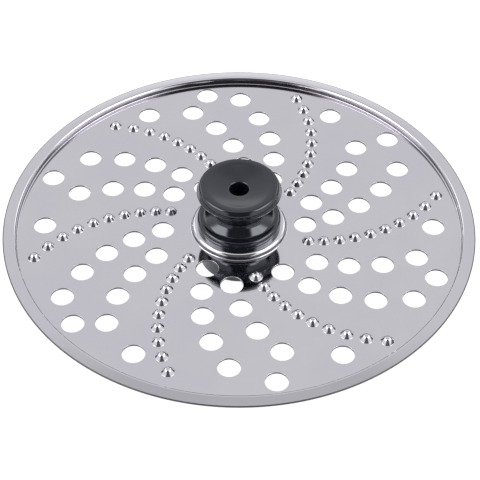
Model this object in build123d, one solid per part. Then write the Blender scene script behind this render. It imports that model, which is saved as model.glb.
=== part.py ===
from build123d import *
from math import acos, asin, cos, degrees, radians, sin
import os

# Grating disc of a food processor: a pressed stainless sheet held in a moulded plastic hub.
# Millimetres. The origin is the centre of the hub's foot and +Z runs up the spin axis.

# Sheet
DISC_DIAMETER = 127.0
SHEET = 0.5
FIELD_HEIGHT = 10.6          # top of the flat field above the hub's foot

# Raised rim
RIM_WIDTH = 3.6              # from the outer edge to the foot of the step's wall
RIM_RISE = 2.1               # inner edge of the rim above the field
RIM_FALL = 0.6               # drop from there to the outer edge
RIM_LEAN = 0.1               # how far the wall leans out below its bevel
RIM_SHOULDER = 0.7           # bevel on top of the step

# Raised collar round the hub
COLLAR_WIDTH = 1.9           # from the hub's flange to the foot of the collar's wall
COLLAR_RISE = 1.6
COLLAR_LEAN = 0.3            # how far the wall leans in below its bevel
COLLAR_SHOULDER = 0.75       # bevel on top of the wall

# Rows of nubs and holes: every row is an arc of a circle that runs through the disc's centre
SECTORS = 6
ROWS_PER_SECTOR = 3          # one of nubs, then two of holes
ROW_CIRCLE = 81.6            # diameter of that circle
ROW_TURN = 29.5              # degrees from +X to the first row's tangent at the centre

# Pressed nubs, hollow on the underside
NUB_COUNT = 10
NUB_START = 19.4             # distance of the innermost nub from the axis
NUB_PITCH = 4.02             # measured along the disc's radius
NUB_STAGGER = 1.4            # how much nearer to the axis the staggered rows start
STAGGERED_ROWS = (1, 3)
NUB_DIAMETER = 3.0           # at the field
NUB_RISE = 1.35
NUB_SIDES = 8                # flats round each dome
NUB_TIERS = (1.0, 0.55, 0.15)    # levels of the dome's edges, as parts of its angle from the top

# Punched holes
HOLE_DIAMETER = 6.0
HOLE_PITCH = 8.0             # measured along the disc's radius
HOLE_STARTS = (20.6, 17.9)   # innermost hole of the even and the odd sectors
HOLES_IN_ROW = (5, 4)        # in each sector's first and second row of holes
HOLE_SHIFT = 4.0             # how much further out the second row starts
OUTER_HOLE_RADII = (52.5, 55.15)     # each sector's two single holes near the rim
OUTER_HOLE_TURNS = (119.8, 99.8)     # degrees from +X, in the first sector

# Hub
KNOB_RISE = 15.3             # lip of the knob above the field
DISH_DEPTH = 1.3             # hollow of the knob's top, from the lip to the bore's mouth
FLANGE_DIAMETER = 22.5       # both flanges of the spool
UPPER_FLANGE = 2.6           # thickness of the upper flange
UPPER_ROUND = 1.9
UPPER_BEVEL = 0.4            # on the upper flange's lower edge
LOWER_FLANGE = 2.6           # thickness of the lower flange above the collar
LOWER_ROUND = 1.1
WAIST_DEPTH = 4.2            # of the finger groove between the flanges
BOSS_DIAMETER = 21.7
BOSS_BEVEL = 0.5
SHEET_GRIP = 1.85            # how deep the sheet's edge is held in the hub
KEY_FLAT = 1.2               # depth of the two flats that stop the sheet from turning
BORE_DIAMETER = 5.1
BORE_BEVEL = 0.45
SOCKET_DIAMETER = 11.0
SOCKET_FLATS = 8.6           # across the socket's two drive flats
SOCKET_DEPTH = 14.0

disc_radius = DISC_DIAMETER / 2
flange_radius = FLANGE_DIAMETER / 2
boss_radius = BOSS_DIAMETER / 2
bore_radius = BORE_DIAMETER / 2
hub_height = FIELD_HEIGHT + KNOB_RISE
collar_foot = flange_radius + COLLAR_WIDTH
collar_top = FIELD_HEIGHT + COLLAR_RISE
rim_wall = disc_radius - RIM_WIDTH
sector_angle = 360 / SECTORS
row_angle = sector_angle / ROWS_PER_SECTOR


def turned(radius, angle):
    return radius * cos(radians(angle)), radius * sin(radians(angle))


def row(start, pitch, count, size, turn):
    """Places along one row that leave a pressing of this size clear of the collar and the rim."""
    for step in range(count):
        radius = start + step * pitch
        if collar_foot < radius - size / 2 and radius + size / 2 < rim_wall:
            yield turned(radius, ROW_TURN + turn + degrees(asin(radius / ROW_CIRCLE)))


def nub_places():
    for number in range(SECTORS):
        start = NUB_START - (NUB_STAGGER if number in STAGGERED_ROWS else 0)
        yield from row(start, NUB_PITCH, NUB_COUNT, NUB_DIAMETER, number * sector_angle)


def hole_places():
    for sector in range(SECTORS):
        turn = sector * sector_angle
        for line, count in enumerate(HOLES_IN_ROW):
            start = HOLE_STARTS[sector % 2] + line * HOLE_SHIFT
            yield from row(start, HOLE_PITCH, count, HOLE_DIAMETER, turn + (line + 1) * row_angle)
        for radius, angle in zip(OUTER_HOLE_RADII, OUTER_HOLE_TURNS):
            if radius + HOLE_DIAMETER / 2 < rim_wall:
                yield turned(radius, angle + turn)


def keyed_circle(radius, flats):
    """Circle with two flats that are this far apart."""
    return Circle(radius) & Rectangle(2 * radius, flats)


def opening():
    """Outline of the opening in the sheet, which the hub fills."""
    radius = boss_radius - SHEET_GRIP
    return keyed_circle(radius, 2 * (radius - KEY_FLAT))


def sheet_section():
    """Half section of the sheet in the XZ plane, from the axis out to the rim."""
    rim_top = FIELD_HEIGHT + RIM_RISE
    shoulder = collar_foot - COLLAR_LEAN
    with BuildSketch(Plane.XZ) as section:
        with BuildLine():
            Polyline(
                (0, collar_top),
                (shoulder - COLLAR_SHOULDER, collar_top),
                (shoulder, collar_top - COLLAR_SHOULDER),
                (collar_foot, FIELD_HEIGHT),
                (rim_wall, FIELD_HEIGHT),
                (rim_wall + RIM_LEAN, rim_top - RIM_SHOULDER),
                (rim_wall + RIM_LEAN + RIM_SHOULDER, rim_top),
                (disc_radius, rim_top - RIM_FALL),
            )
            offset(amount=-SHEET, side=Side.RIGHT, kind=Kind.INTERSECTION)
        make_face()
    return section.sketch


def dome(radius, edge_angle):
    """Top of a ball of this radius, drawn with flats, down to an angle from its upper pole."""
    corners = []
    for part in NUB_TIERS:
        tier = radians(edge_angle * part)
        for side in range(NUB_SIDES):
            x, y = turned(radius * sin(tier), side * 360 / NUB_SIDES)
            corners.append((x, y, radius * cos(tier)))
    return ConvexPolyhedron(corners)


def grating_disc():
    """Pressed sheet: the turned section, the nubs, then the opening and the holes."""
    nub_radius = NUB_DIAMETER / 2
    outside = (nub_radius**2 + NUB_RISE**2) / (2 * NUB_RISE)
    centre = FIELD_HEIGHT + NUB_RISE - outside
    buried = dome(outside, degrees(acos((FIELD_HEIGHT - SHEET / 2 - centre) / outside)))
    hollow = dome(outside - SHEET, degrees(acos((FIELD_HEIGHT - SHEET - centre) / (outside - SHEET))))
    places = [Pos(x, y, centre) for x, y in nub_places()]
    holes = Sketch() + [Pos(x, y) * Circle(HOLE_DIAMETER / 2) for x, y in hole_places()]
    sheet = revolve(sheet_section(), Axis.Z)
    sheet += [place * buried for place in places]
    sheet -= [place * hollow for place in places]
    return sheet - extrude(holes, hub_height) - extrude(opening(), hub_height)


def hub_section():
    """Half section of the hub in the XZ plane: boss, bore, dish, upper flange, waist, lower flange."""
    lower_top = collar_top + LOWER_FLANGE
    upper_under = hub_height - UPPER_FLANGE
    mouth = (bore_radius + BORE_BEVEL, hub_height - DISH_DEPTH)
    lip = (flange_radius - UPPER_ROUND, hub_height)
    upper_side = (flange_radius, hub_height - UPPER_ROUND)
    waist_top = (flange_radius - UPPER_BEVEL, upper_under)
    throat = (flange_radius - WAIST_DEPTH, (lower_top + upper_under) / 2)
    waist_foot = (flange_radius - LOWER_ROUND, lower_top)
    lower_side = (flange_radius, lower_top - LOWER_ROUND)
    with BuildSketch(Plane.XZ) as section:
        with BuildLine():
            Polyline(
                lower_side,
                (flange_radius, collar_top),
                (boss_radius, collar_top - SHEET),
                (boss_radius, BOSS_BEVEL),
                (boss_radius - BOSS_BEVEL, 0),
                (bore_radius, 0),
                (bore_radius, hub_height - DISH_DEPTH - BORE_BEVEL),
                mouth,
            )
            TangentArc(mouth, lip, tangent=(1, 0))
            RadiusArc(lip, upper_side, UPPER_ROUND)
            Polyline(upper_side, (flange_radius, upper_under + UPPER_BEVEL), waist_top)
            ThreePointArc(waist_top, throat, waist_foot)
            RadiusArc(waist_foot, lower_side, LOWER_ROUND)
        make_face()
    return section.sketch


def hub():
    """Plastic moulding round the edge of the sheet's opening, with the drive socket below."""
    held_sheet = extrude(Circle(collar_foot) - opening(), SHEET)
    body = revolve(hub_section(), Axis.Z) - Pos(0, 0, collar_top - SHEET) * held_sheet
    return body - extrude(keyed_circle(SOCKET_DIAMETER / 2, SOCKET_FLATS), SOCKET_DEPTH)


os.makedirs("parts", exist_ok=True)
export_step(grating_disc(), "parts/grating_disc.step")
export_step(hub(), "parts/hub.step")
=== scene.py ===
from math import asin, atan2, ceil, cos, pi, radians, sin, tan

import bmesh
import bpy
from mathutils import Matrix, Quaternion, Vector
from mathutils.geometry import delaunay_2d_cdt


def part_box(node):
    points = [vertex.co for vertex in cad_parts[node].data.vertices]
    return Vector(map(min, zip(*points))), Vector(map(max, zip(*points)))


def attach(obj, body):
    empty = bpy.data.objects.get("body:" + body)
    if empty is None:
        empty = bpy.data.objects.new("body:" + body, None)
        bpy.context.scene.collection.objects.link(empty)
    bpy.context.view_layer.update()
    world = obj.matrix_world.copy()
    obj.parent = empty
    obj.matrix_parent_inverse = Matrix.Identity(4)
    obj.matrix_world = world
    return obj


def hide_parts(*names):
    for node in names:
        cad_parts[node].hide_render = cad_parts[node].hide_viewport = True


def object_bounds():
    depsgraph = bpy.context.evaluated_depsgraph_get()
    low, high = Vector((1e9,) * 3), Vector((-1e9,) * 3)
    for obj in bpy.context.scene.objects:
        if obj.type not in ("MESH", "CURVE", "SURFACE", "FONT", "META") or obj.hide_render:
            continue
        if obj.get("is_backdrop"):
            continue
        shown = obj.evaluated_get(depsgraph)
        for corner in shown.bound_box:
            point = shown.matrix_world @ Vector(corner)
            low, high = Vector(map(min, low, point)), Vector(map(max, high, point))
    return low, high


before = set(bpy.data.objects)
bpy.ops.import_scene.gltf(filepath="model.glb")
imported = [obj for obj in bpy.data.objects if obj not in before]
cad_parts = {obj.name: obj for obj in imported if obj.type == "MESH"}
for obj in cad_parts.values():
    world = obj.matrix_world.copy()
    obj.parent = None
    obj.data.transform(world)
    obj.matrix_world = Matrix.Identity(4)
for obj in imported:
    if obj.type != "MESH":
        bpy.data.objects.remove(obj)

# Looks of a grating disc: a mirror-polished steel pressing with a black plastic hub, on a white table.
# Shapes are worked out in millimetres, in the same frame as the solids, and scaled once at the end.
MM = 0.001
cad_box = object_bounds()
disc_low, disc_high = (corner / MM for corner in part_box("grating_disc"))
_, hub_high = (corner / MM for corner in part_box("hub"))

# Steps along rounded lines
ARC_STEP = radians(8)
SMALL_ROUND = 0.35               # roundings up to this radius take longer steps
SMALL_STEP = radians(23)
LEAST_STEPS = 3
WELD = 1e-4                      # points nearer to each other than this become one
TINY = 1e-6

# Sheet
DISC_RADIUS = disc_high.x
SHEET = 0.5
FIELD = disc_low.z + SHEET       # height of the flat field's top
EDGE_ROUND = 0.14                # on the sheared outer edge
MARGIN = 0.03                    # flat border round each pressing, which keeps the field's shading level
DISC_CREASE = 50.0               # degrees, bends up to this are shaded smooth

# Raised rim
RIM_WIDTH = 3.6                  # from the outer edge to the foot of the step's wall
RIM_LEAN = 0.03                  # how far the wall leans out over its height
RIM_RISE = 2.1                   # corner of the step above the field, before it is rounded
RIM_FALL = 0.6                   # drop from there to the outer edge
RIM_SHOULDER = 0.8               # rounding of that corner
RIM_FOOT = 0.25                  # rounding at the wall's foot
RIM_PAINTED_SHADE = (0.12, 0.95)         # heights above the field between which the wall gets darker steel, painted shade for the dark line along its foot
RIM_SEGMENTS = 256

# Raised collar round the hub
FLANGE_RADIUS = hub_high.x
COLLAR_WIDTH = 1.65              # from the hub's flange to the foot of the collar's wall
COLLAR_RISE = 1.6
COLLAR_LEAN = 0.15               # how far the wall leans in over its height
COLLAR_SHOULDER = 1.2
COLLAR_FOOT = 0.3
# heights above the field between which the collar's wall gets darker steel, painted shade for the dark
# line along its foot
COLLAR_PAINTED_SHADE = (0.2, 0.95)
COLLAR_SEGMENTS = 144
HELD_EDGE = 9.6                  # radius where the sheet ends inside the hub

# Curved rows: every row is an arc of a circle that runs through the disc's centre
SECTORS = 6
ROWS_PER_SECTOR = 3              # one of nubs, then two of holes
ROW_CIRCLE = 81.6                # diameter of that circle
ROW_TURN = 29.5                  # degrees from +X to the first row's tangent at the centre

# Pressed nubs
NUB_COUNT = 10
NUB_START = 19.4                 # distance of the innermost nub from the axis
NUB_PITCH = 4.02
NUB_STAGGER = 1.4                # how much nearer to the axis the staggered rows start
STAGGERED_ROWS = (1, 3)
NUB_RISE = 1.38
NUB_TIP = 1.4                    # radius of the rounded top
NUB_FLANK = 54.0                 # degrees, slope of the straight flank below it
NUB_FILLET = 0.15                # where the flank runs out into the field
NUB_SEGMENTS = 28

# Punched holes
HOLE_RADIUS = 3.0
HOLE_ROLL = 0.07                 # rounding that the punch leaves on the upper edge
HOLE_LOWER_ROUND = HOLE_ROLL / 3
HOLE_PITCH = 8.0
HOLE_STARTS = (20.6, 17.9)       # innermost hole of the even and the odd sectors
HOLES_IN_ROW = (5, 4)
HOLE_SHIFT = 4.0                 # how much further out each sector's second row starts
OUTER_HOLES = ((52.5, 119.8), (55.15, 99.8))     # radius and degrees from +X, in the first sector
HOLE_SEGMENTS = 36

# Hub
HUB_TOP = hub_high.z
DISH_SLOPE = 17.5                # degrees, steepest slope of the knob's hollow top
DISH_TURN = 8.0                  # radius where it is steepest, between the hollow and the crown
LIP_DEPTH = 1.9                  # from the top down to the mould's parting line
LIP_LEAN = 21.0                  # degrees, lean of the lip's side above that line
LIP_ROUND = 1.0
LEVEL_RUN = 0.01                 # level start of the lip's rounding
PARTING_DEPTH = 0.08             # fine step left by the mould round the upper flange
PARTING_HEIGHT = 0.1
PARTING_ROUND = 0.02
UPPER_FLANGE = 2.6
UPPER_ROUND = 0.4                # on the upper flange's lower edge
LOWER_FLANGE = 2.6               # thickness of the lower flange above the collar
LOWER_ROUND = 1.1
WAIST_INSET = 1.0                # from the flange's side in to the waist's upper end
WAIST_DEPTH = 4.2
WAIST_CONE = 50.0                # degrees, how far the waist's conical foot leans back from upright
WAIST_TURN = 1.6                 # rounding above the cone
WAIST_FOOT = 1.8                 # rounding below it
WAIST_LAND = 0.05                # level run between that rounding and the lower flange's
BOSS_RADIUS = 10.85
BOSS_ROUND = 0.5
SEAT_GAP = 0.02                  # between the lower flange and the collar
SEAT_ROUND = 0.1
BORE_RADIUS = 2.55
BORE_ROUND = 0.45                # on the bore's mouth
BORE_START = 1.5                 # upper stretch of the bore's wall
SOCKET_RADIUS = 5.5
SOCKET_FLATS = 8.6
SOCKET_DEPTH = 14.0
SOCKET_LAND = 0.6                # level border round the socket's mouth
HUB_SEGMENTS = 192
HUB_CREASE = 40.0

# Places of the duller steels in the disc's list of materials, after the polished one: the sheared steel,
# then the darker steel on the walls, which is painted shade
SHEARED = 1
PAINTED_SHADE = 2

# Finishes: tints are linear colours, noise scales count features per metre, and reliefs are the
# strength of a bump and its height in metres
STEEL_TINTS = ((0.560, 0.545, 0.600, 1.0), (0.580, 0.568, 0.612, 1.0))
STEEL_ROUGHNESS = (0.04, 0.035)  # spread, and the least
STEEL_MOTTLE = 60.0
MOTTLE_EDGE = (0.35, 0.65)
SCRATCH_SETS = ((12.0, 900.0), (58.0, 1100.0), (103.0, 800.0), (151.0, 1000.0))     # degrees, scale
SCRATCH_LENGTH = 40.0            # times its width
SCRATCH_EDGE = (0.66, 0.74)
SCRATCH_ROUGHNESS = 0.05
SCRATCH_RELIEF = (0.02, 0.00002)
PLASTIC_TINTS = ((0.0045, 0.0055, 0.0090, 1.0), (0.0070, 0.0080, 0.0125, 1.0))
PLASTIC_ROUGHNESS = (0.05, 0.06)
PLASTIC_IOR = 1.62
PLASTIC_GLOSS = (0.86, 0.92, 1.0, 1.0)
PLASTIC_CLOUD = 160.0
PLASTIC_GRAIN = 2600.0
PLASTIC_RELIEF = (0.08, 0.00003)
WHITE = (1.0, 1.0, 1.0, 1.0)

# Studio, in degrees of bearing away from the camera's side and of height above the table. Two limits
# are the start and the end of a soft edge, and four are a stretch between two such edges.
WALL_LIGHT = 0.93                # white walls
GLOW_LIGHT = 1.35                # brighter foot of the walls
GLOW_TOP = (16.0, 30.0)
CEILING_LIGHT = 0.72
CEILING_FROM = (52.0, 64.0)
LAMP_LIGHT = 1.15                # broad lamp above, a little to the camera's side
LAMP_HEIGHT = 86.0
LAMP_SPAN = (16.0, 25.0)
PANEL_LIGHT = 1.15               # soft panels to the left and right
PANEL_BEARING = (40.0, 54.0, 98.0, 112.0)
PANEL_TOP = (34.0, 44.0)
CORE_LIGHT = 5.3                 # soft lamps on top of them
CORE_BEARING = (44.0, 56.0, 98.0, 110.0)
CORE_HEIGHT = (30.0, 37.0, 55.0, 63.0)
FAR_LIGHT = 1.9                  # soft lamps behind the disc, to the left and right
FAR_BEARING = (120.0, 126.0, 144.0, 152.0)
FAR_HEIGHT = (14.0, 20.0, 36.0, 42.0)
DARK_ROOM = 0.13                 # camera and its stand, with the unlit room behind them
CAMERA_HEIGHT = 45.0
CAMERA_SPAN = (26.0, 34.0)
STAND_BEARING = (22.0, 34.0)
STAND_TOP = (30.0, 36.0)
HORIZON_LIGHT = 0.03             # dark room beyond the far edge of the table
HORIZON_FROM = (106.0, 124.0)
HORIZON_TOP = (9.0, 18.0)
TABLE_EDGE = (-18.0, -9.0)       # where the glow, the stand and the horizon end, below the table's edge
BACKDROP = 1.0                   # white that the camera sees behind the table

# Table
TABLE_TINT = (0.8, 0.8, 0.8, 1.0)
TABLE_GLOW = 0.9                 # white that the camera and the mirror finish see
TABLE_SHADE = (0.25, 0.25, 0.25, 1.0)    # grey on top of that glow, which takes the shadow
TABLE_HALF = 150.0               # half of its side
TABLE_GAP = 0.05                 # below the hub's foot

# Camera, fitted to the photograph
CAMERA_AT = (0.0, -304.3, 313.67)
CAMERA_AIM = (0.257, -5.305, 10.6)
CAMERA_ROLL = 0.13               # degrees
CAMERA_NEAR = 10.0
LENS = 119.09
SENSOR = 36.0

# Values that follow from these
sector_angle = 360 / SECTORS
row_angle = sector_angle / ROWS_PER_SECTOR
collar_foot = FLANGE_RADIUS + COLLAR_WIDTH
collar_top = FIELD + COLLAR_RISE
lower_top = collar_top + LOWER_FLANGE
upper_under = HUB_TOP - UPPER_FLANGE
parting_radius = FLANGE_RADIUS - PARTING_DEPTH
parting_top = HUB_TOP - LIP_DEPTH
waist_top = Vector((FLANGE_RADIUS - WAIST_INSET, upper_under))
waist_foot = Vector((FLANGE_RADIUS - LOWER_ROUND, lower_top))


def polar(radius, angle):
    """Flat point at a radius and an angle in radians."""
    return radius * cos(angle), radius * sin(angle)


def row(start, pitch, count, turn):
    """Places along one curved row."""
    for step in range(count):
        radius = start + step * pitch
        yield polar(radius, radians(ROW_TURN + turn) + asin(radius / ROW_CIRCLE))


def nub_places():
    """Centres of the nubs, row by row."""
    for number in range(SECTORS):
        start = NUB_START - (NUB_STAGGER if number in STAGGERED_ROWS else 0)
        yield from row(start, NUB_PITCH, NUB_COUNT, number * sector_angle)


def hole_places():
    """Centres of the holes, sector by sector."""
    for sector in range(SECTORS):
        turn = sector * sector_angle
        for line, count in enumerate(HOLES_IN_ROW):
            start = HOLE_STARTS[sector % 2] + line * HOLE_SHIFT
            yield from row(start, HOLE_PITCH, count, turn + (line + 1) * row_angle)
        for radius, angle in OUTER_HOLES:
            yield polar(radius, radians(angle + turn))


def circle(radius, height, segments, centre=(0.0, 0.0)):
    """Level ring of points."""
    ring = []
    for i in range(segments):
        x, y = polar(radius, 2 * pi * i / segments)
        ring.append((centre[0] + x, centre[1] + y, height))
    return ring


def turned(vector, angle):
    """A flat vector turned by an angle in radians."""
    across = vector.x * cos(angle) - vector.y * sin(angle)
    up = vector.x * sin(angle) + vector.y * cos(angle)
    return Vector((across, up))


def arc(centre, start, angle):
    """Points on an arc about a centre, from a start point through a signed angle."""
    step = ARC_STEP if (start - centre).length > SMALL_ROUND else SMALL_STEP
    steps = max(LEAST_STEPS, ceil(abs(angle) / step))
    return [centre + turned(start - centre, angle * i / steps) for i in range(steps + 1)]


def rounded(corners, radii):
    """Line through (radius, height) corners with its inner corners rounded."""
    corners = [Vector(corner) for corner in corners]
    points = [corners[0]]
    for before, corner, after, radius in zip(corners, corners[1:], corners[2:], radii):
        to_before = (before - corner).normalized()
        to_after = (after - corner).normalized()
        half = to_before.angle(to_after) / 2
        start = corner + to_before * (radius / tan(half))
        centre = corner + (to_before + to_after).normalized() * (radius / sin(half))
        side = 1 if to_before.x * to_after.y - to_before.y * to_after.x < 0 else -1
        points += arc(centre, start, side * (pi - 2 * half))
    return points + [corners[-1]]


def lowered(line):
    """Lower face of the sheet under a line that runs outwards: moved square to it by the thickness."""
    moved = []
    for i, point in enumerate(line):
        along = line[min(i + 1, len(line) - 1)] - line[max(i - 1, 0)]
        along.normalize()
        moved.append(point + Vector((along.y, -along.x)) * SHEET)
    return moved


class Surface:
    """Points and faces of a mesh, in millimetres, welded into one piece at the end."""

    def __init__(self):
        self.points = []
        self.faces = []
        self.slots = []

    def rings(self, rings, slot=0):
        """Bands of quads between rings that have the same number of points."""
        count = len(rings[0])
        first = len(self.points)
        for ring in rings:
            self.points += ring
        for band in range(len(rings) - 1):
            low = first + band * count
            for i in range(count):
                j = (i + 1) % count
                self.faces.append((low + i, low + j, low + count + j, low + count + i))
                self.slots.append(slot)

    def lathe(self, line, segments, centre=(0.0, 0.0), slot=0):
        """A (radius, height) line turned about an upright axis."""
        self.rings([circle(point.x, point.y, segments, centre) for point in line], slot)

    def banded(self, line, segments, heights, slot):
        """Lathe with another material between two heights above the field."""
        for low, high in zip(line, line[1:]):
            middle = (low.y + high.y) / 2 - FIELD
            self.lathe([low, high], segments, slot=slot if heights[0] < middle < heights[1] else 0)

    def flat(self, outer, inner, height):
        """Level face inside an outer loop and outside every inner loop."""
        flat_points = []
        edges = []
        owner = []
        for number, loop in enumerate([outer] + inner):
            first = len(flat_points)
            flat_points += [Vector(point[:2]) for point in loop]
            owner += [number] * len(loop)
            edges += [(first + i, first + (i + 1) % len(loop)) for i in range(len(loop))]
        places, _, triangles, sources, _, _ = delaunay_2d_cdt(flat_points, edges, [], 0, TINY)
        first = len(self.points)
        self.points += [(place.x, place.y, height) for place in places]
        for triangle in triangles:
            # A triangle with all its corners on one inner loop would fill that loop.
            owners = {owner[sources[i][0]] for i in triangle}
            if len(owners) > 1 or owners == {0}:
                self.faces.append(tuple(first + i for i in triangle))
                self.slots.append(0)

    def piece(self, name, materials, crease):
        """Object made of these faces, in metres, with sharp edges where they bend past the crease."""
        mesh = bpy.data.meshes.new(name)
        mesh.from_pydata([Vector(point) * MM for point in self.points], [], self.faces)
        mesh.polygons.foreach_set("material_index", self.slots)
        work = bmesh.new()
        work.from_mesh(mesh)
        bmesh.ops.remove_doubles(work, verts=work.verts, dist=WELD * MM)
        bmesh.ops.recalc_face_normals(work, faces=work.faces)
        work.to_mesh(mesh)
        work.free()
        mesh.shade_smooth()
        mesh.set_sharp_from_angle(angle=radians(crease))
        for material in materials:
            mesh.materials.append(material)
        return linked(name, mesh)


def linked(name, data):
    """New object in the scene with this mesh or camera."""
    thing = bpy.data.objects.new(name, data)
    bpy.context.scene.collection.objects.link(thing)
    return thing


def rim_line():
    """Upper face of the rim, from the field out to the sheet's edge."""
    wall_foot = DISC_RADIUS - RIM_WIDTH
    crest = FIELD + RIM_RISE
    line = rounded(
        [
            (wall_foot - RIM_FOOT - MARGIN, FIELD),
            (wall_foot, FIELD),
            (wall_foot + RIM_LEAN, crest),
            (DISC_RADIUS, crest - RIM_FALL),
        ],
        [RIM_FOOT, RIM_SHOULDER],
    )
    edge_start = line[-1].lerp(line[-2], 2 * EDGE_ROUND / (line[-1] - line[-2]).length)
    line.insert(-1, edge_start)
    return line


def collar_line():
    """Upper face of the collar, from inside the hub out to the field."""
    return rounded(
        [
            (HELD_EDGE, collar_top),
            (collar_foot - COLLAR_LEAN, collar_top),
            (collar_foot, FIELD),
            (collar_foot + COLLAR_FOOT + MARGIN, FIELD),
        ],
        [COLLAR_SHOULDER, COLLAR_FOOT],
    )


def nub_line():
    """Half section of a nub: a rounded top on a straight flank that runs out into the field."""
    slope = radians(NUB_FLANK)
    top = Vector((0.0, FIELD + NUB_RISE))
    tip = arc(top - Vector((0.0, NUB_TIP)), top, -slope)
    foot = Vector((tip[-1].x + (tip[-1].y - FIELD) / tan(slope), FIELD))
    edge = Vector((foot.x + NUB_FILLET * tan(slope / 2) + MARGIN, FIELD))
    return tip[:-1] + rounded([tip[-1], foot, edge], [NUB_FILLET])


def hole_line():
    """Half section of a punched hole, from its rolled upper edge down to the sheet's underside."""
    border = HOLE_RADIUS + HOLE_ROLL + MARGIN
    return rounded(
        [
            (border, FIELD),
            (HOLE_RADIUS, FIELD),
            (HOLE_RADIUS, FIELD - SHEET),
            (border, FIELD - SHEET),
        ],
        [HOLE_ROLL, HOLE_LOWER_ROUND],
    )


def polished_disc(materials):
    """Fine version of the pressed sheet, with the roundings that its mirror finish shows."""
    surface = Surface()
    rim = rim_line()
    rim_under = lowered(rim)
    edge = rounded([rim[-2], rim[-1], rim_under[-1], rim_under[-2]], [EDGE_ROUND, EDGE_ROUND])
    collar = collar_line()
    collar_under = lowered(collar)
    surface.banded(rim[:-1], RIM_SEGMENTS, RIM_PAINTED_SHADE, slot=PAINTED_SHADE)
    surface.lathe(edge, RIM_SEGMENTS, slot=SHEARED)
    surface.lathe(rim_under[:-1], RIM_SEGMENTS)
    surface.banded(collar, COLLAR_SEGMENTS, COLLAR_PAINTED_SHADE, slot=PAINTED_SHADE)
    surface.lathe(collar_under, COLLAR_SEGMENTS)
    surface.lathe([collar[0], collar_under[0]], COLLAR_SEGMENTS)
    nub = nub_line()
    nub_under = lowered(nub)
    nub_under[0].x = 0.0
    nub_under[-1].x = nub[-1].x
    hole = hole_line()
    wall_start = next(i for i, point in enumerate(hole) if point.x < HOLE_RADIUS + TINY)
    loops = [circle(collar[-1].x, FIELD, COLLAR_SEGMENTS)]
    for place in nub_places():
        surface.lathe(nub, NUB_SEGMENTS, place)
        surface.lathe(nub_under, NUB_SEGMENTS, place)
        loops.append(circle(nub[-1].x, FIELD, NUB_SEGMENTS, place))
    for place in hole_places():
        surface.lathe(hole[: wall_start + 1], HOLE_SEGMENTS, place)
        surface.lathe(hole[wall_start:], HOLE_SEGMENTS, place, slot=SHEARED)
        loops.append(circle(hole[0].x, FIELD, HOLE_SEGMENTS, place))
    outer = circle(rim[0].x, FIELD, RIM_SEGMENTS)
    surface.flat(outer, loops, FIELD)
    surface.flat(outer, loops, FIELD - SHEET)
    return surface.piece("polished_disc", materials, DISC_CREASE)


def dish_line(crest):
    """Hollow top of the knob, from the bore out to the crest of the lip."""
    slope = radians(DISH_SLOPE)
    crown = arc(crest - Vector((0.0, (crest.x - DISH_TURN) / sin(slope))), crest, slope)
    hollow_radius = DISH_TURN / sin(slope)
    middle = Vector((0.0, crown[-1].y + hollow_radius * cos(slope)))
    hollow = arc(middle, crown[-1], asin(BORE_RADIUS / hollow_radius) - slope)
    return hollow[::-1] + crown[-2::-1]


def knob_line():
    """Bore, hollow top and lip, down to the mould's parting line."""
    lean = radians(LIP_LEAN)
    corner = Vector((parting_radius - LIP_DEPTH * tan(lean), HUB_TOP))
    crest = corner - Vector((LIP_ROUND * tan((pi / 2 - lean) / 2), 0.0))
    dish = dish_line(crest)
    bore = rounded([dish[0] - Vector((0.0, BORE_START)), dish[0], dish[1]], [BORE_ROUND])
    level_start = crest - Vector((LEVEL_RUN, 0.0))
    lip = rounded([level_start, corner, (parting_radius, parting_top)], [LIP_ROUND])
    return bore[:-1] + dish[1:] + lip[2:]


def flange_line():
    """Side of the upper flange, from the parting line down to the waist."""
    return rounded(
        [
            (parting_radius, parting_top),
            (parting_radius, parting_top - PARTING_HEIGHT),
            (FLANGE_RADIUS, parting_top - PARTING_HEIGHT),
            (FLANGE_RADIUS, upper_under),
            waist_top,
        ],
        [PARTING_ROUND, PARTING_ROUND, UPPER_ROUND],
    )


def waist_line():
    """Finger groove: a round hollow down to the throat, then a conical foot."""
    throat = Vector((FLANGE_RADIUS - WAIST_DEPTH, (upper_under + lower_top) / 2))
    reach = waist_top - throat
    centre = throat + Vector((reach.length_squared / (2 * reach.x), 0.0))
    hollow = arc(centre, waist_top, pi - atan2(reach.y, waist_top.x - centre.x))
    cone = radians(WAIST_CONE)
    heel = waist_foot - Vector((WAIST_FOOT * tan((pi / 2 - cone) / 2) + WAIST_LAND, 0.0))
    knee = Vector((throat.x, heel.y + (heel.x - throat.x) / tan(cone)))
    return hollow + rounded([throat, knee, heel, waist_foot], [WAIST_TURN, WAIST_FOOT])[1:]


def boss_line(lower_side):
    """Boss below the lower flange, through the sheet's opening down to the foot."""
    return rounded(
        [
            lower_side,
            (FLANGE_RADIUS, collar_top + SEAT_GAP),
            (BOSS_RADIUS, collar_top - SHEET),
            (BOSS_RADIUS, 0.0),
            (SOCKET_RADIUS + SOCKET_LAND, 0.0),
        ],
        [SEAT_ROUND, SEAT_ROUND, BOSS_ROUND],
    )


def socket_ring(height):
    """Outline of the drive socket: a circle with two flats."""
    ring = []
    for i in range(HUB_SEGMENTS):
        angle = 2 * pi * i / HUB_SEGMENTS
        to_flat = SOCKET_FLATS / 2 / max(abs(sin(angle)), TINY)
        ring.append((*polar(min(SOCKET_RADIUS, to_flat), angle), height))
    return ring


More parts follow.
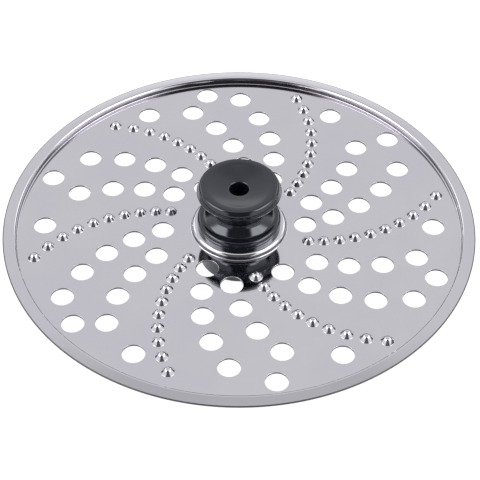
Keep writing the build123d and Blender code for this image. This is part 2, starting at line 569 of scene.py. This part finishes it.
def moulded_hub(materials):
    """Spool-shaped knob above the sheet, boss below it, with the bore and the drive socket."""
    surface = Surface()
    skirt = arc(waist_foot - Vector((0.0, LOWER_ROUND)), waist_foot, -pi / 2)
    line = knob_line()
    for stretch in (flange_line(), waist_line(), skirt, boss_line(skirt[-1])):
        line += stretch[1:]
    rings = [circle(point.x, point.y, HUB_SEGMENTS) for point in line]
    rings += [socket_ring(0.0), socket_ring(SOCKET_DEPTH)]
    rings += [circle(BORE_RADIUS, SOCKET_DEPTH, HUB_SEGMENTS), rings[0]]
    surface.rings(rings)
    return surface.piece("moulded_hub", materials, HUB_CREASE)


class Nodes:
    """Short ways to add shader nodes to one node tree."""

    def __init__(self, tree):
        self.tree = tree
        tree.nodes.clear()

    def add(self, kind, inputs=None, **settings):
        """New node, with a number, a colour or another node's output on each named input."""
        node = self.tree.nodes.new(kind)
        for name, value in settings.items():
            setattr(node, name, value)
        for name, value in (inputs or {}).items():
            self.put(node.inputs[name], value)
        return node

    def put(self, socket, value):
        if isinstance(value, bpy.types.NodeSocket):
            self.tree.links.new(value, socket)
        else:
            socket.default_value = value

    def math(self, operation, *values):
        node = self.add("ShaderNodeMath", operation=operation)
        for socket, value in zip(node.inputs, values):
            self.put(socket, value)
        return node.outputs[0]

    def spread(self, value, spread, least):
        """Number that rises from the least by the value's share of the spread."""
        return self.math("MULTIPLY_ADD", value, spread, least)

    def both(self, first, second):
        """Share that is 1 only where both shares are."""
        return self.math("MULTIPLY", first, second)

    def above(self, value, limits):
        """0 below the first limit, 1 above the second, smooth between."""
        inputs = {"Value": value, "From Min": limits[0], "From Max": limits[1]}
        return self.add("ShaderNodeMapRange", inputs, interpolation_type="SMOOTHSTEP").outputs[0]

    def below(self, value, limits):
        """1 below the first limit, 0 above the second, smooth between."""
        return self.math("SUBTRACT", 1.0, self.above(value, limits))

    def within(self, value, limits):
        """1 between the middle two of four limits, 0 outside the outer two, smooth between."""
        return self.both(self.above(value, limits[:2]), self.below(value, limits[2:]))

    def blend(self, share, first, second):
        """Number between two others."""
        inputs = {0: share, 2: first, 3: second}
        return self.add("ShaderNodeMix", inputs, data_type="FLOAT").outputs[0]

    def colour(self, share, first, second):
        """Colour between two others."""
        inputs = {0: share, 6: first, 7: second}
        return self.add("ShaderNodeMix", inputs, data_type="RGBA").outputs[2]

    def place(self):
        """Point on the object, in metres, for patterns that stay on it."""
        return self.add("ShaderNodeTexCoord").outputs["Object"]

    def noise(self, vector, scale, detail):
        inputs = {"Vector": vector, "Scale": scale, "Detail": detail}
        return self.add("ShaderNodeTexNoise", inputs).outputs["Fac"]

    def stretched(self, vector, scale, turn=0.0):
        inputs = {"Vector": vector, "Scale": scale, "Rotation": (0.0, 0.0, radians(turn))}
        return self.add("ShaderNodeMapping", inputs).outputs[0]

    def bump(self, height, strength, distance):
        inputs = {"Height": height, "Strength": strength, "Distance": distance}
        return self.add("ShaderNodeBump", inputs).outputs[0]

    def principled(self, inputs):
        """Main shader with these inputs, put on the surface."""
        shader = self.add("ShaderNodeBsdfPrincipled", inputs)
        self.add("ShaderNodeOutputMaterial", {"Surface": shader.outputs[0]})


def new_material(name):
    """Material with an empty node tree, and the short ways to fill it."""
    material = bpy.data.materials.new(name)
    material.use_nodes = True
    return material, Nodes(material.node_tree)


def polished_steel():
    """Mirror finish with a faint mottle and hairline scratches that run every way."""
    material, nodes = new_material("polished_steel")
    place = nodes.place()
    mottle = nodes.noise(place, STEEL_MOTTLE, 4.0)
    scratches = None
    for turn, scale in SCRATCH_SETS:
        along = nodes.stretched(place, (scale / SCRATCH_LENGTH, scale, scale), turn)
        line = nodes.above(nodes.noise(along, 1.0, 2.0), SCRATCH_EDGE)
        scratches = line if scratches is None else nodes.math("MAXIMUM", scratches, line)
    clean = nodes.spread(mottle, *STEEL_ROUGHNESS)
    nodes.principled(
        {
            "Base Color": nodes.colour(nodes.above(mottle, MOTTLE_EDGE), *STEEL_TINTS),
            "Metallic": 1.0,
            "Roughness": nodes.spread(scratches, SCRATCH_ROUGHNESS, clean),
            "Normal": nodes.bump(scratches, *SCRATCH_RELIEF),
        }
    )
    return material


def marked_steel(name, scale, tints, roughness, relief):
    """Darker and duller steel, with fine upright marks left by the tools. On the walls of the rim and
    the collar its darkness is painted shade.
    """
    material, nodes = new_material(name)
    marks = nodes.noise(nodes.stretched(nodes.place(), scale), 1.0, 3.0)
    nodes.principled(
        {
            "Base Color": nodes.colour(marks, *tints),
            "Metallic": 1.0,
            "Roughness": nodes.spread(marks, *roughness),
            "Normal": nodes.bump(marks, *relief),
        }
    )
    return material


def sheared_steel():
    """Walls of the punched holes and the disc's outer edge."""
    return marked_steel(
        "sheared_steel",
        scale=(2500.0, 2500.0, 300.0),
        tints=((0.06, 0.058, 0.062, 1.0), (0.13, 0.126, 0.134, 1.0)),
        roughness=(0.2, 0.3),
        relief=(0.25, 0.00004),
    )


def painted_shade_steel():
    """Darker steel on the walls of the rim's step and of the collar: painted shade for the dark line
    along their foot.
    """
    return marked_steel(
        "painted_shade_steel",
        scale=(900.0, 900.0, 60.0),
        tints=((0.100, 0.095, 0.107, 1.0), (0.200, 0.190, 0.208, 1.0)),
        roughness=(0.1, 0.1),
        relief=(0.1, 0.00002),
    )


def black_plastic():
    """Moulded black plastic: satin gloss with a fine grain and a little mottle."""
    material, nodes = new_material("black_plastic")
    place = nodes.place()
    cloud = nodes.noise(place, PLASTIC_CLOUD, 4.0)
    grain = nodes.noise(place, PLASTIC_GRAIN, 2.0)
    nodes.principled(
        {
            "Base Color": nodes.colour(cloud, *PLASTIC_TINTS),
            "Roughness": nodes.spread(cloud, *PLASTIC_ROUGHNESS),
            "IOR": PLASTIC_IOR,
            "Specular Tint": PLASTIC_GLOSS,
            "Normal": nodes.bump(grain, *PLASTIC_RELIEF),
        }
    )
    return material


def away_from(nodes, way, height):
    """Degrees between a way in the world and the one to the camera's side at this height."""
    aim = (0.0, -cos(radians(height)), sin(radians(height)))
    facing = nodes.add("ShaderNodeVectorMath", {0: way, 1: aim}, operation="DOT_PRODUCT")
    return nodes.math("DEGREES", nodes.math("ARCCOSINE", facing.outputs["Value"]))


def studio_world():
    """White studio: lamps above, at both sides and behind, and the dark room round the camera."""
    world = bpy.data.worlds.new("studio")
    bpy.context.scene.world = world
    world.use_nodes = True
    nodes = Nodes(world.node_tree)
    way = nodes.add("ShaderNodeTexCoord").outputs["Generated"]
    part = nodes.add("ShaderNodeSeparateXYZ", {0: way}).outputs
    height = nodes.math("DEGREES", nodes.math("ARCSINE", part[2]))
    front = nodes.math("MULTIPLY", part[1], -1.0)
    bearing = nodes.math("DEGREES", nodes.math("ABSOLUTE", nodes.math("ARCTAN2", part[0], front)))

    glow = nodes.within(height, TABLE_EDGE + GLOW_TOP)
    ceiling = nodes.above(height, CEILING_FROM)
    lamp = nodes.below(away_from(nodes, way, LAMP_HEIGHT), LAMP_SPAN)
    panels = nodes.both(nodes.within(bearing, PANEL_BEARING), nodes.below(height, PANEL_TOP))
    cores = nodes.both(nodes.within(bearing, CORE_BEARING), nodes.within(height, CORE_HEIGHT))
    far_lamps = nodes.both(nodes.within(bearing, FAR_BEARING), nodes.within(height, FAR_HEIGHT))
    horizon_height = nodes.within(height, TABLE_EDGE + HORIZON_TOP)
    horizon = nodes.both(horizon_height, nodes.above(bearing, HORIZON_FROM))
    stand_height = nodes.within(height, TABLE_EDGE + STAND_TOP)
    stand = nodes.both(nodes.below(bearing, STAND_BEARING), stand_height)
    camera = nodes.below(away_from(nodes, way, CAMERA_HEIGHT), CAMERA_SPAN)

    light = WALL_LIGHT
    for share, level in (
        (glow, GLOW_LIGHT),
        (ceiling, CEILING_LIGHT),
        (lamp, LAMP_LIGHT),
        (panels, PANEL_LIGHT),
        (cores, CORE_LIGHT),
        (far_lamps, FAR_LIGHT),
        (horizon, HORIZON_LIGHT),
        (nodes.math("MAXIMUM", stand, camera), DARK_ROOM),
    ):
        light = nodes.blend(share, light, level)
    seen = nodes.add("ShaderNodeLightPath").outputs["Is Camera Ray"]
    strength = nodes.blend(seen, light, BACKDROP)
    shader = nodes.add("ShaderNodeBackground", {"Color": WHITE, "Strength": strength})
    nodes.add("ShaderNodeOutputWorld", {"Surface": shader.outputs[0]})


def white_table():
    """White table top under the hub's foot, which keeps a faint shadow."""
    material, nodes = new_material("white_table")
    path = nodes.add("ShaderNodeLightPath").outputs
    mirrored = nodes.math("ADD", path["Is Glossy Ray"], path["Is Transmission Ray"])
    seen = nodes.math("MINIMUM", nodes.math("ADD", path["Is Camera Ray"], mirrored), 1.0)
    plain = nodes.add("ShaderNodeBsdfDiffuse", {"Color": TABLE_TINT}).outputs[0]
    shade = nodes.add("ShaderNodeBsdfDiffuse", {"Color": TABLE_SHADE}).outputs[0]
    glow = nodes.add("ShaderNodeEmission", {"Color": WHITE, "Strength": TABLE_GLOW}).outputs[0]
    white = nodes.add("ShaderNodeAddShader", {0: shade, 1: glow}).outputs[0]
    shader = nodes.add("ShaderNodeMixShader", {0: seen, 1: plain, 2: white}).outputs[0]
    nodes.add("ShaderNodeOutputMaterial", {"Surface": shader})
    half = TABLE_HALF * MM
    level = -TABLE_GAP * MM
    corners = [(-half, -half, level), (half, -half, level), (half, half, level), (-half, half, level)]
    mesh = bpy.data.meshes.new("table")
    mesh.from_pydata(corners, [], [(0, 1, 2, 3)])
    mesh.materials.append(material)
    table = linked("table", mesh)
    table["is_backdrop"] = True


def photo_camera():
    """Camera in the photograph's place."""
    data = bpy.data.cameras.new("camera")
    data.lens = LENS
    data.sensor_width = SENSOR
    data.clip_start = CAMERA_NEAR * MM
    camera = linked("camera", data)
    place = Vector(CAMERA_AT) * MM
    look = Vector(CAMERA_AIM) * MM - place
    roll = Quaternion((0.0, 0.0, 1.0), radians(CAMERA_ROLL))
    camera.location = place
    camera.rotation_mode = "QUATERNION"
    camera.rotation_quaternion = look.to_track_quat("-Z", "Y") @ roll
    bpy.context.scene.camera = camera


disc = polished_disc([polished_steel(), sheared_steel(), painted_shade_steel()])
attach(disc, "root")
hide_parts("grating_disc")
hub = moulded_hub([black_plastic()])
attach(hub, "root")
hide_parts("hub")
studio_world()
white_table()
photo_camera()
bpy.context.scene.view_settings.view_transform = "Standard"
[[list(corner) for corner in box] for box in (cad_box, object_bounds())]
